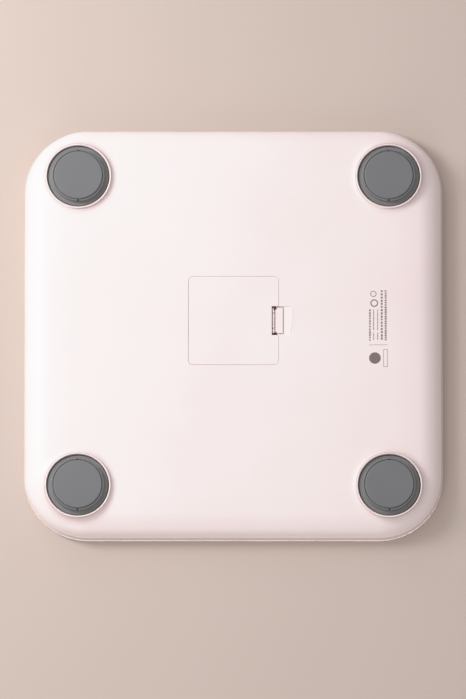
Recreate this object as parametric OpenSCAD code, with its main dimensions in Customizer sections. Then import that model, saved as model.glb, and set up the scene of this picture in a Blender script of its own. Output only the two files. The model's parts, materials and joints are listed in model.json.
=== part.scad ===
// Digital bathroom scale: a square glass platform on a moulded base, with four
// sprung feet on load cells, a display under the glass and a battery bay below.
// The scale stands on its feet at z = 0. The user stands on the -Y side and reads
// the display at the +Y side. Left is -X and right is +X.

/* [Body] */
// Width and depth of the square glass platform
body_size = 300; // [290:1:310]
// Height from the floor to the top of the glass
body_h = 26; // [26:0.5:30]
// Corner radius of the glass in plan
corner_r = 46; // [44:1:50]
// Thickness of the glass
glass_t = 5; // [4:0.5:5]
// How far the glass overhangs the base all round
glass_overhang = 1.1; // [0.8:0.1:2]
// Height of the flat underside above the floor
base_z = 6.2; // [6:0.1:6.4]
// Wall thickness of the moulded base
wall_t = 2.2; // [2:0.1:2.4]

/* [Feet] */
// Distance between foot centres along X
foot_pitch_x = 226.2; // [220:0.2:230]
// Distance between foot centres along Y
foot_pitch_y = 223; // [218:0.2:228]
// Outer radius of the rubber foot pad
pad_r = 21.9; // [21.5:0.1:22]
// Inner radius of the collar round each foot
collar_r = 22.4; // [22.3:0.1:22.8]
// Height of the collar lip above the floor
lip_z = 3.4; // [3:0.1:4]
// Travel of each foot as its load cell bends
foot_travel = 0.8; // [0.3:0.1:0.8]

/* [Battery door] */
// Side of the square battery door
door_size = 64.5; // [64:0.1:65]
// Corner radius of the door
door_corner_r = 3.3; // [2:0.1:5]
// Thickness of the door
door_t = 1.8; // [1.6:0.1:2]
// Offset of the door from the middle of the scale along X
door_x = -7.5; // [-12:0.5:12]
// Width of the finger scoop beside the latch
scoop_w = 20.8; // [18:0.2:22]
// Length of the finger scoop, from the latch wall
scoop_len = 11.2; // [10:0.2:13]
// Depth of the finger scoop
scoop_depth = 0.8; // [0.6:0.1:1.2]

/* [Display and electrodes] */
// Distance of the display's middle from the middle of the scale
display_y = 102; // [98:1:104]
// Radius of each touch electrode
electrode_r = 21; // [18:0.5:22]
// Distance of the electrodes from the middle along X
electrode_x = 92; // [86:1:94]
// Distance of the electrodes from the middle along Y
electrode_y = 88; // [80:1:90]

/* [Hidden] */
$fn = 72;

// Corners in the order front left, front right, rear left, rear right
CORNERS = [[-1, -1], [1, -1], [-1, 1], [1, 1]];
FRONT_LEFT = 0;
FRONT_RIGHT = 1;
REAR_LEFT = 2;
REAR_RIGHT = 3;

// Levels from the top down
glass_z = body_h - glass_t;
tape_t = 0.3;
frame_t = 2.3;
frame_top = glass_z - tape_t;
frame_z = frame_top - frame_t;
rim_z = glass_z - 0.4;
floor_z = base_z + wall_t;

// Base outline and the arcs of its flank: a tight one at the rim, a wide one below it,
// and a crown that eases into the flat underside
base_half = body_size / 2 - glass_overhang;
base_r = corner_r - glass_overhang;
base_mid = base_half - base_r;
flank_w = 18;
rim_arc_r = 11;
rim_arc_z = rim_z - 0.5;
crown_lift = 0.7;
crown_angle = 5;
flank_rise = rim_arc_z - base_z - crown_lift;
arc_gap = flank_w - rim_arc_r;
flank_arc_r = (pow(arc_gap, 2) + pow(flank_rise, 2) - pow(rim_arc_r, 2)) / (2 * (flank_rise - rim_arc_r));
flank_arc_z = base_z + crown_lift + flank_arc_r;
crown_r = flank_arc_r + crown_lift / (1 - cos(crown_angle));
crown_in = (crown_r - flank_arc_r) * sin(crown_angle);
arc_join = atan2(rim_arc_z - flank_arc_z, arc_gap);

// Feet
foot_x = foot_pitch_x / 2;
foot_y = foot_pitch_y / 2;
pad_t = 5.6;
collar_top = 11;
flange_z = collar_top + 0.2;
flange_t = 1.2;
cup_wall_t = 1.3;
cell_half = 15;
cell_t = 2;
cell_z = 12.8;
boss_gap = 0.1;
holder_r = 24;
holder_z = 13.4;
cell_top = cell_z + cell_t;
holder_screw_x = 19.8;
holder_seat_z = cell_top + 0.4;

// Battery bay
door_half = door_size / 2;
seam = 0.2;
recess_half = door_half + seam;
ledge_z = base_z + door_t + 0.1;
bay_half = 30.25;
bay_wall = 2.75;
low_roof_z = 14.6;
roof_t = 1.2;
battery_r = 5.25;
battery_len = 44.5;
battery_pitch = 10.8;
battery_z = ledge_z + 0.5 + battery_r;
chamber_y0 = -20.2;
chamber_y1 = 23.4;
chamber_x = 25.5;
chamber_wall = 1.7;
high_roof_z = battery_z + battery_r + 0.1;
plate_t = 0.4;
nub_r = 1.9;
nub_h = 0.8;
BATTERY_Y = [for (i = [0:3]) 17.8 - battery_pitch * i];
bay_screw_x = 20;
BAY_SCREWS = [for (y = [-25.2, 27.5], sx = [-1, 1]) [sx * bay_screw_x, y]];

// Door hinge line, at the outer edge of the seam, and the latch tongue
hinge_y = door_half + 0.1;
tab_x = 18;
tab_w = 10;
notch_y = -27.4;
tongue_t = 0.8;
tongue_y = -28.85;
tongue_half = 9;
bend_r = 2;
bend_y = tongue_y + tongue_t / 2 + bend_r;
bend_z = 11.5;
bend_half = 8;
scoop_half = scoop_w / 2;
scoop_y = -31.6;
lip_pit_y = -36;
lip_pit_depth = 1.6;
scoop_floor_t = 1.2;

// Finger lip of the latch, in the scoop
lip_wall_y = -30.2;
lip_wall_t = 0.8;
lip_wall_half = 8.1;
lip_y = -35.7;
lip_half = 9.2;
lip_t = 1;
lip_web_z = base_z + 2.9;
hook_x = 5.6;
hook_z = base_z + 3.9;
hook_y = -31.1;

// Circuit board and display
pcb_x = 38;
pcb_y0 = 84;
pcb_y1 = 122;
pcb_z = 13;
pcb_t = 1.2;
display_w = 66;
display_d = 24;
PCB_SCREWS = [[-34.5, 118.5], [34.5, 118.5], [0, 86.7]];
wire_r = 0.5;
wire_pitch = 1.6;

// Points on an arc, without the first one
function arc(cx, cy, r, a0, a1, n) =
    [for (i = [1:n]) let (a = a0 + (a1 - a0) * i / n) [cx + r * cos(a), cy + r * sin(a)]];

function unit(v) = v / norm(v);

// Direction of a route at one of its points
function heading(p, i) = unit(p[min(i + 1, len(p) - 1)] - p[max(i - 1, 0)]);

// A round tube swept along a route of points; up sets how its rings are turned
module tube(p, r, up, sides = 6) {
    rings = [for (i = [0:len(p) - 1]) let (t = heading(p, i), a = unit(cross(t, up)), b = cross(t, a))
        for (k = [0:sides - 1]) p[i] + r * (a * cos(360 * k / sides) + b * sin(360 * k / sides))];
    walls = [for (i = [0:len(p) - 2], k = [0:sides - 1])
        let (a = i * sides, b = a + sides, next = (k + 1) % sides)
        for (face = [[a + k, a + next, b + next], [a + k, b + next, b + k]]) face];
    first = [for (k = [sides - 1:-1:0]) k];
    last = [for (k = [0:sides - 1]) (len(p) - 1) * sides + k];
    polyhedron(rings, concat([first], walls, [last]));
}

module rounded_square(half, r) {
    square([2 * half, 2 * (half - r)], center = true);
    square([2 * (half - r), 2 * half], center = true);
    for (c = CORNERS) translate(c * (half - r)) circle(r);
}

module box(x0, x1, y0, y1, z0, z1) {
    translate([x0, y0, z0]) cube([x1 - x0, y1 - y0, z1 - z0]);
}

// Puts its children at one foot, mirrored so that their +X side faces outwards
module at_foot(i) {
    translate([CORNERS[i][0] * foot_x, CORNERS[i][1] * foot_y, 0])
        mirror([CORNERS[i][0] < 0 ? 1 : 0, 0, 0]) children();
}

module screw(head_z, head_r, head_h, shank_r, length) {
    translate([0, 0, head_z - head_h]) cylinder(h = head_h, r = head_r);
    translate([0, 0, head_z]) cylinder(h = length, r = shank_r);
}

// Glass and what is bonded to it

module glass_platform() {
    color([0.95, 0.95, 0.95, 0.5])
    difference() {
        translate([0, 0, glass_z]) linear_extrude(glass_t) rounded_square(body_size / 2, corner_r);
        for (c = CORNERS) translate([c[0] * electrode_x, c[1] * electrode_y, glass_z - 1])
            cylinder(h = glass_t + 2, r = electrode_r + 0.15);
    }
}

// A shallow steel cup, flush with the top of the glass
module electrode(i) {
    color("silver")
    translate([CORNERS[i][0] * electrode_x, CORNERS[i][1] * electrode_y, 0])
    difference() {
        translate([0, 0, glass_z]) cylinder(h = glass_t, r = electrode_r);
        translate([0, 0, glass_z - 1]) cylinder(h = glass_t + 0.2, r = electrode_r - 0.8);
    }
}

// Each wire drops from its electrode through the frame and runs below it to the board
module electrode_wires() {
    wire_z = frame_z - 1;
    end_z = pcb_z + pcb_t + wire_r + 0.1;
    front = [[66, -electrode_y, wire_z], [58, 8 - electrode_y, wire_z], [58, 74, wire_z], [48, 86, wire_z - 1],
        [35.8, 87.5, end_z]];
    rear = [[66, electrode_y + 6, wire_z], [48, 103, wire_z - 1], [35.8, 104, end_z]];
    color("gray")
    for (c = CORNERS) {
        drop = [[electrode_x, c[1] * electrode_y, body_h - 1.4],
            [electrode_x - 5, c[1] * electrode_y, wire_z]];
        route = concat(drop, c[1] < 0 ? front : rear);
        tube([for (p = route) [c[0] * p[0], p[1], p[2]]], wire_r, [0.2, 0.3, 1]);
    }
}

module glass_tape() {
    color("ivory")
    translate([0, 0, frame_top]) linear_extrude(tape_t) difference() {
        rounded_square(base_half - 4.4, base_r - 4.4);
        for (c = CORNERS) translate([c[0] * electrode_x, c[1] * electrode_y]) circle(electrode_r + 1);
        translate([0, display_y]) square([display_w + 6, display_d + 6], center = true);
        translate([door_x, (chamber_y0 + chamber_y1) / 2]) square([58, 48], center = true);
    }
}

module rim_sealant() {
    color("white")
    translate([0, 0, rim_z]) linear_extrude(glass_z - rim_z) difference() {
        rounded_square(base_half - 0.5, base_r - 0.5);
        rounded_square(base_half - 1.9, base_r - 1.9);
    }
}

module platform_frame() {
    color("gainsboro")
    difference() {
        union() {
            translate([0, 0, frame_z]) linear_extrude(frame_t) rounded_square(base_half - 3.2, base_r - 3.2);
            for (s = BAY_SCREWS) translate([door_x + s[0], s[1], low_roof_z + roof_t + 0.1])
                cylinder(h = frame_top - low_roof_z - roof_t - 0.1, r = 4);
            for (s = PCB_SCREWS) translate([s[0], s[1], pcb_z + pcb_t])
                cylinder(h = frame_top - pcb_z - pcb_t, r = 2.4);
        }
        for (c = CORNERS) translate([c[0] * electrode_x, c[1] * electrode_y, frame_z - 1])
            cylinder(h = frame_t + 2, r = 9);
        for (i = [0:3], s = [-1, 1]) at_foot(i) translate([s * holder_screw_x, 0, frame_z - 1])
            cylinder(h = frame_t + 2, r = 1.3);
        for (s = BAY_SCREWS) translate([door_x + s[0], s[1], low_roof_z]) cylinder(h = 8, r = 1.3);
        for (s = PCB_SCREWS) translate([s[0], s[1], pcb_z]) cylinder(h = 9, r = 1.05);
        box(-display_w / 2 - 1, display_w / 2 + 1, display_y - display_d / 2 - 1, display_y + display_d / 2 + 1,
            frame_z - 1, frame_top + 1);
        box(door_x - chamber_x - chamber_wall - 0.6, door_x + chamber_x + chamber_wall + 0.6,
            chamber_y0 - chamber_wall - 0.6, chamber_y1 + chamber_wall + 0.6, frame_z - 1, frame_top + 1);
        box(door_x - chamber_x - chamber_wall - 0.3, door_x + chamber_x + chamber_wall + 0.3,
            chamber_y0 - chamber_wall - 0.3, chamber_y1 + chamber_wall + 0.3, low_roof_z, frame_z);
    }
}

// Display and electronics

module display_window() {
    color("dimgray")
    translate([0, display_y, glass_z - 0.15]) linear_extrude(0.15)
        square([display_w + 4, display_d + 4], center = true);
}

// Reflector block with three digits and a decimal point, open to the window
module display_module() {
    digit_w = 15;
    color("whitesmoke")
    difference() {
        translate([-display_w / 2, display_y - display_d / 2, pcb_z + pcb_t])
            cube([display_w, display_d, glass_z - 0.25 - pcb_z - pcb_t]);
        for (i = [-1:1]) translate([i * 19, display_y, glass_z - 3]) difference() {
            linear_extrude(4) square([digit_w, 19], center = true);
            for (y = [-4.4, 4.4]) translate([0, y, -1]) linear_extrude(6) square([digit_w - 5, 4.6], center = true);
        }
        translate([29.5, display_y - 8.5, glass_z - 3]) cylinder(h = 4, r = 1.2);
    }
}

module main_pcb() {
    color("seagreen")
    difference() {
        box(-pcb_x, pcb_x, pcb_y0, pcb_y1, pcb_z, pcb_z + pcb_t);
        for (s = PCB_SCREWS) translate([s[0], s[1], pcb_z - 1]) cylinder(h = pcb_t + 2, r = 1.2);
    }
}

module pcb_chips() {
    color("black") {
        box(-5, 5, 97, 107, pcb_z - 1.2, pcb_z);
        box(-22, -9, 108, 120, pcb_z - 1.8, pcb_z);
        box(12, 18, 96, 101, pcb_z - 1, pcb_z);
        box(12, 17, 108, 112, pcb_z - 1, pcb_z);
        translate([-15, 98, pcb_z - 3]) cylinder(h = 3, r = 3);
        for (x = [-2, 2, 6]) box(x, x + 2, 112, 113.2, pcb_z - 0.7, pcb_z);
    }
}

module pcb_connectors() {
    color("ivory") {
        for (sx = [-1, 1], y = [96, 110]) translate([sx * 33.5, y, pcb_z - 1.9]) cube([6, 7, 3.8], center = true);
        translate([8, 88.5, pcb_z - 1.9]) cube([8, 6, 3.8], center = true);
    }
}

module pcb_screws() {
    color("silver")
    for (s = PCB_SCREWS) translate([s[0], s[1], 0]) screw(pcb_z, 2.1, 1.3, 0.98, 5.5);
}

// Base shell

// Section through the base's floor and flank, from the corner's centre outwards
function flank(inset) = concat(
    [[base_r - inset, rim_z], [base_r - inset, rim_arc_z]],
    arc(base_r - rim_arc_r, rim_arc_z, rim_arc_r - inset, 0, arc_join, 6),
    arc(base_r - flank_w, flank_arc_z, flank_arc_r - inset, arc_join, crown_angle - 90, 5),
    arc(base_r - flank_w - crown_in, base_z + crown_r, crown_r - inset, crown_angle - 90, -90, 3),
    [[0, base_z + inset]]);

module shell_section() {
    inner = flank(wall_t);
    polygon(concat(flank(0), [for (i = [len(inner) - 1:-1:0]) inner[i]]));
}

module tray() {
    translate([-base_mid, -base_mid, base_z]) cube([2 * base_mid, 2 * base_mid, wall_t]);
    for (a = [0:90:270]) rotate([0, 0, a]) {
        translate([base_mid, 0, 0]) rotate([90, 0, 0])
            linear_extrude(2 * base_mid, center = true) shell_section();
        translate([base_mid, base_mid, 0]) rotate_extrude(angle = 90) shell_section();
    }
}

// Collar round one foot: a rounded lip that flares into the base, and a guide tube inside
module collar() {
    rotate_extrude() polygon(concat(
        [[collar_r, collar_top], [collar_r, lip_z + 0.5], [collar_r + 0.4, lip_z], [collar_r + 1, lip_z]],
        [[collar_r + 1.5, lip_z + 0.4]],
        arc(collar_r + 4.6, lip_z + 0.4, 3.1, 180, 95, 5),
        [[collar_r + 4.4, collar_top - 0.4], [collar_r + 2, collar_top - 0.4], [collar_r + 2, collar_top]]));
}

module bay_block() {
    box(-bay_half - bay_wall, bay_half + bay_wall, -bay_half - bay_wall, bay_half + bay_wall,
        base_z, low_roof_z + roof_t);
    box(-chamber_x - chamber_wall, chamber_x + chamber_wall, chamber_y0 - chamber_wall,
        chamber_y1 + chamber_wall, base_z, high_roof_z + roof_t);
    box(-scoop_half - 1.8, scoop_half + 1.8, scoop_y - scoop_len - 1.8, 0, base_z,
        base_z + lip_pit_depth + scoop_floor_t);
}

module bay_hollow() {
    box(-bay_half, bay_half, -bay_half, bay_half, ledge_z, low_roof_z);
    box(-scoop_half, scoop_half, scoop_y, 0, ledge_z, low_roof_z);
    difference() {
        box(-chamber_x, chamber_x, chamber_y0, chamber_y1, ledge_z, high_roof_z);
        for (i = [0:2]) translate([-chamber_x - 1, BATTERY_Y[i] - battery_pitch / 2 - 0.6, high_roof_z - 2])
            cube([2 * chamber_x + 2, 1.2, 3]);
    }
}

// The door's recess, open to the scoop beside the latch
module door_recess() {
    translate([0, 0, base_z - 8]) linear_extrude(ledge_z - base_z + 8)
        rounded_square(recess_half, door_corner_r + seam);
    box(-scoop_half, scoop_half, scoop_y, 0, base_z - 1, ledge_z + 1);
}

// Pit under the latch's lip, then a hollow that curves up to a fine groove at the scoop's end
module finger_scoop() {
    end_y = scoop_y - scoop_len;
    run = end_y + 0.3 - lip_pit_y;
    rise = scoop_depth - 0.1;
    rotate([90, 0, 90]) linear_extrude(scoop_w, center = true) polygon(concat(
        [[scoop_y + 1, base_z - 1], [scoop_y + 1, base_z + lip_pit_depth], [lip_pit_y, base_z + lip_pit_depth]],
        [for (i = [0:6]) [lip_pit_y + run * i / 6, base_z + scoop_depth - rise * pow(i / 6, 2)]],
        [[end_y + 0.3, base_z + 0.5], [end_y, base_z + 0.5], [end_y, base_z - 1]]));
}

// Pockets behind the scoop that the latch's hooks snap into
module hook_pockets() {
    for (sx = [-1, 1]) box(sx * hook_x - 2.4, sx * hook_x + 2.4, scoop_y - 0.8, scoop_y + 0.1,
        hook_z - 0.1, hook_z + 1.5);
}

module hinge_slots() {
    for (sx = [-1, 1]) translate([sx * tab_x, 0, 0]) {
        box(-tab_w / 2 - 0.4, tab_w / 2 + 0.4, bay_half - 1, recess_half, ledge_z - 1, floor_z + 2.4);
        box(-tab_w / 2 - 0.4, tab_w / 2 + 0.4, recess_half - 1, bay_half + bay_wall + 1,
            floor_z, floor_z + 2.4);
    }
}

module base_shell() {
    color("mistyrose")
    difference() {
        union() {
            tray();
            for (i = [0:3]) at_foot(i) collar();
            translate([door_x, 0, 0]) bay_block();
            for (x = [-70, 70], y = [-78, 78]) box(x - 0.8, x + 0.8, y - 30, y + 30, base_z, floor_z + 3);
            for (y = [-62, 62]) box(-86, 86, y - 0.8, y + 0.8, base_z, floor_z + 1.2);
        }
        for (i = [0:3]) at_foot(i) {
            translate([0, 0, lip_z - 1]) cylinder(h = 12, r = collar_r);
            translate([0, 0, collar_top]) cylinder(h = 5, r = collar_r + 2.5);
        }
        translate([door_x, 0, 0]) {
            door_recess();
            bay_hollow();
            finger_scoop();
            hinge_slots();
            hook_pockets();
            for (s = BAY_SCREWS) translate([s[0], s[1], low_roof_z - 1]) cylinder(h = 4, r = 1.5);
            for (y = BATTERY_Y, sx = [-1, 1]) translate([sx * (chamber_x + 1), y, battery_z])
                cube([4, 2, 2], center = true);
        }
        for (x = [-4, 4]) translate([door_x + x, bay_half - 1, 11.6])
            rotate([-90, 0, 0]) cylinder(h = 6, r = 0.8);
    }
}

module shell_screws() {
    color("silver")
    for (s = BAY_SCREWS) translate([door_x + s[0], s[1], 0]) screw(low_roof_z, 2.5, 1.9, 1.2, 5.6);
}

// Load cells and their holders

// Steel plate cut into an outer frame and a middle tongue, so that the tongue bends
module load_cell(i) {
    color("silver")
    at_foot(i) translate([0, 0, cell_z]) linear_extrude(cell_t) {
        difference() {
            rounded_square(cell_half, 3);
            square([20, 20], center = true);
        }
        translate([0, -3]) square([8, 15], center = true);
        circle(6);
    }
}

module strain_gauges() {
    color("white")
    for (i = [0:3]) at_foot(i) translate([0, -7.6, cell_top]) linear_extrude(0.6) square([6, 3.6], center = true);
}

module cell_holder(i) {
    color("gainsboro")
    at_foot(i) difference() {
        translate([0, 0, holder_z]) cylinder(h = frame_z - holder_z, r = holder_r);
        translate([0, 0, holder_z - 1]) linear_extrude(cell_top - holder_z + 1) rounded_square(cell_half + 0.2, 3.2);
        translate([0, 0, cell_top - 1]) linear_extrude(3.2) square([24, 24], center = true);
        for (s = [-1, 1]) translate([s * holder_screw_x, 0, 0]) {
            translate([0, 0, holder_z - 1]) cylinder(h = holder_seat_z - holder_z + 1, r = 2.6);
            translate([0, 0, holder_z]) cylinder(h = 8, r = 1.35);
        }
        box(-3, 3, -holder_r - 1, -11, cell_top, cell_top + 2.2);
        box(-holder_r - 1, -11, -12.6, -7.4, cell_top, cell_top + 2.2);
    }
}

module holder_screws() {
    color("silver")
    for (i = [0:3], s = [-1, 1]) at_foot(i) translate([s * holder_screw_x, 0, 0])
        screw(holder_seat_z, 2.4, 1.6, 1.2, 5);
}

// Three thin wires side by side, from the holder's side opening to the board
module sensor_wires(i) {
    sx = CORNERS[i][0];
    sy = CORNERS[i][1];
    COLOURS = ["crimson", "ivory", "black"];
    for (k = [-1:1]) color(COLOURS[k + 1]) {
        side = k * wire_pitch;
        y0 = sy * foot_y - 10 + side;
        z0 = cell_top + 0.9;
        z1 = pcb_z - 1.9;
        x1 = sx * (54 + side);
        start = [[sx * (foot_x - 13), y0, z0], [sx * (foot_x - 26), y0, z0]];
        shift = side * tan(22.5);
        front = [[sx * (64 + shift), y0, z0], [x1, y0 + 10 + shift - side, z0], [x1, 87 + shift, z1],
            [sx * (45 + shift), 96 + side, z1]];
        rear = [[sx * (60 + side / 4), y0, z0], [sx * (47 + side / 4), 110 + side, z1]];
        dest = [[sx * 36.5, (sy < 0 ? 96 : 110) + side, z1]];
        tube(concat(start, sy < 0 ? front : rear, dest), wire_r, [0.2, 0.3, 1]);
    }
}

// Batteries and their contacts

// Cells lie along X, turned end for end in turn
module battery(n) {
    flip = n % 2;
    color("goldenrod")
    translate([door_x, BATTERY_Y[n], battery_z]) rotate([0, 90, 180 * flip]) {
        translate([0, 0, chamber_x - plate_t - 0.05 - battery_len]) cylinder(h = battery_len - nub_h, r = battery_r - 0.05);
        translate([0, 0, chamber_x - plate_t - 0.05 - nub_h]) cylinder(h = nub_h, r = nub_r);
    }
}

module contact_plates() {
    color("silver")
    translate([door_x, 0, battery_z]) {
        for (sx = [-1, 1], n = [0:3]) translate([sx * (chamber_x - plate_t / 2), BATTERY_Y[n], 0])
            cube([plate_t, 8, 8], center = true);
    }
}

// Conical coil, widest on its plate, that presses on the flat end of one battery
module contact_spring() {
    free = 2 * (chamber_x - plate_t) - 0.05 - battery_len;
    turns = 3.5;
    steps = 35;
    coil_r = 0.35;
    tube([for (i = [0:steps]) let (t = i / steps, a = 360 * turns * t, r = 3.1 - 1.1 * t)
        [coil_r + 0.05 + (free - 2 * coil_r - 0.1) * t, r * cos(a), r * sin(a)]], coil_r, [1, 0, 0]);
}

module contact_springs() {
    color("silver")
    for (n = [0:3]) translate([door_x, BATTERY_Y[n], battery_z]) rotate([0, 0, n % 2 == 0 ? 0 : 180])
        translate([-chamber_x + plate_t, 0, 0]) contact_spring();
}

module battery_wires() {
    for (k = [0, 1]) color(k == 0 ? "crimson" : "black")
        tube([[door_x - 4 + 8 * k, bay_half + 0.6, 11.6], [door_x - 4 + 8 * k, 50, 11.6],
            [7 + 2 * k, 66, 11.1], [7 + 2 * k, 85.5, 11.1]], wire_r, [0.2, 0.3, 1]);
}

// Battery door and latch

module battery_door() {
    color("mistyrose")
    translate([door_x, 0, 0]) {
        difference() {
            translate([0, 0, base_z]) linear_extrude(door_t) rounded_square(door_half, door_corner_r);
            box(-scoop_half - 0.25, scoop_half + 0.25, -50, notch_y, base_z - 1, base_z + door_t + 1);
        }
        for (sx = [-1, 1]) translate([sx * tab_x, 0, 0]) {
            box(-tab_w / 2, tab_w / 2, bay_half - 0.6, hinge_y - 0.15, base_z + door_t - 0.1, base_z + 3.45);
            box(-tab_w / 2, tab_w / 2, hinge_y - 1, hinge_y + 2.25, base_z + 2.35, base_z + 3.45);
        }
        for (x = [-24, 24]) box(x - 0.6, x + 0.6, -26, -21, base_z + door_t - 0.1, base_z + door_t + 2);
        box(-bend_half, bend_half, bend_y + bend_r - tongue_t / 2, bend_y + bend_r + tongue_t / 2,
            base_z + door_t - 0.1, bend_z);
        bend(0.05);
    }
}

// Half of the tongue's bend: a quarter ring from the bend's top down to one leg
module bend(gap) {
    intersection() {
        translate([0, bend_y, bend_z]) rotate([0, 90, 0]) difference() {
            cylinder(h = 2 * bend_half, r = bend_r + tongue_t / 2, center = true);
            cylinder(h = 2 * bend_half + 2, r = bend_r - tongue_t / 2, center = true);
        }
        box(-bend_half - 1, bend_half + 1, bend_y + gap, bend_y + 5, bend_z, bend_z + 5);
    }
}

module door_latch() {
    tip_z = base_z + 0.5;
    color("mistyrose")
    translate([door_x, 0, 0]) {
        translate([0, 2 * bend_y, 0]) mirror([0, 1, 0]) bend(0);
        box(-bend_half, bend_half, tongue_y, tongue_y + tongue_t, base_z + 2.6, bend_z);
        difference() {
            box(-tongue_half, tongue_half, tongue_y, tongue_y + tongue_t, tip_z, base_z + 2.7);
            for (x = [-hook_x, hook_x]) box(x - 0.4, x + 0.4, tongue_y - 1, tongue_y + 2, tip_z - 1, tip_z + 1.2);
        }
        box(-lip_wall_half, lip_wall_half, lip_wall_y - lip_wall_t, tongue_y + 0.1, lip_web_z, lip_web_z + 0.9);
        box(-lip_wall_half, lip_wall_half, lip_wall_y - lip_wall_t, lip_wall_y, base_z + 0.15, lip_web_z + 0.1);
        rotate([90, 0, 90]) linear_extrude(2 * lip_half, center = true) polygon([
            [lip_wall_y - lip_wall_t + 0.1, base_z + 0.15], [lip_y + 0.7, base_z + 0.15],
            [lip_y + 0.2, base_z + 0.35], [lip_y, base_z + 0.15 + lip_t * 0.8], [lip_y, base_z + 0.15 + lip_t],
            [lip_wall_y - lip_wall_t + 0.1, base_z + 0.15 + lip_t]]);
        for (x = [-hook_x, hook_x]) box(x - 2, x + 2, hook_y, tongue_y + 0.1, hook_z, hook_z + 1.1);
    }
}

module door_foam() {
    color("darkgray")
    translate([door_x, 1.6, base_z + door_t]) linear_extrude(0.5) square([30, 36], center = true);
}

// Feet

// Rubber pad with a raised middle disc, a narrow ledge and a sloping rim
module foot_pad(i) {
    color("gray")
    at_foot(i) rotate_extrude() polygon([[0, 0], [17, 0], [17.4, 0.4], [17.4, 1.3], [18, 1.3], [18, 0.8],
        [18.9, 1], [18.9, 4.9], [pad_r - 0.6, 5], [pad_r, 5.3], [pad_r, pad_t], [0, pad_t]]);
}

// Moulded cup that slides in the collar; its flange stops it from dropping out
module foot_cup(i) {
    wall_top = flange_z + flange_t;
    color("dimgray")
    at_foot(i) rotate_extrude() polygon([[0, pad_t], [pad_r, pad_t], [pad_r, flange_z],
        [collar_r + 2, flange_z], [collar_r + 2, wall_top], [pad_r - cup_wall_t, wall_top],
        [pad_r - cup_wall_t, pad_t + 1.8], [5, pad_t + 1.8], [5, cell_z - foot_travel - boss_gap],
        [0, cell_z - foot_travel - boss_gap]]);
}

glass_platform();
electrode(FRONT_LEFT);  // electrode_front_left
electrode(FRONT_RIGHT);  // electrode_front_right
electrode(REAR_LEFT);  // electrode_rear_left
electrode(REAR_RIGHT);  // electrode_rear_right
electrode_wires();
glass_tape();
rim_sealant();
platform_frame();
display_window();
display_module();
main_pcb();
pcb_chips();
pcb_connectors();
pcb_screws();
base_shell();
shell_screws();
load_cell(FRONT_LEFT);  // load_cell_front_left
load_cell(FRONT_RIGHT);  // load_cell_front_right
load_cell(REAR_LEFT);  // load_cell_rear_left
load_cell(REAR_RIGHT);  // load_cell_rear_right
cell_holder(FRONT_LEFT);  // cell_holder_front_left
cell_holder(FRONT_RIGHT);  // cell_holder_front_right
cell_holder(REAR_LEFT);  // cell_holder_rear_left
cell_holder(REAR_RIGHT);  // cell_holder_rear_right
strain_gauges();
holder_screws();
sensor_wires(FRONT_LEFT);  // sensor_wires_front_left
sensor_wires(FRONT_RIGHT);  // sensor_wires_front_right
sensor_wires(REAR_LEFT);  // sensor_wires_rear_left
sensor_wires(REAR_RIGHT);  // sensor_wires_rear_right
battery_wires();
battery(0);  // battery_1
battery(1);  // battery_2
battery(2);  // battery_3
battery(3);  // battery_4
contact_plates();
contact_springs();
battery_door();
door_foam();
door_latch();
foot_pad(FRONT_LEFT);  // foot_pad_front_left
foot_pad(FRONT_RIGHT);  // foot_pad_front_right
foot_pad(REAR_LEFT);  // foot_pad_rear_left
foot_pad(REAR_RIGHT);  // foot_pad_rear_right
foot_cup(FRONT_LEFT);  // foot_cup_front_left
foot_cup(FRONT_RIGHT);  // foot_cup_front_right
foot_cup(REAR_LEFT);  // foot_cup_rear_left
foot_cup(REAR_RIGHT);  // foot_cup_rear_right
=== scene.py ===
"""Looks of a digital bathroom scale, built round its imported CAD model. Metres, in the CAD frame; sizes in mm are
multiplied by MM. The scale stands on z = 0, and the display's end is +Y."""
import json
import math
import random

import bpy
import bmesh
from mathutils import Matrix, Vector
from mathutils.geometry import delaunay_2d_cdt

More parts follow.
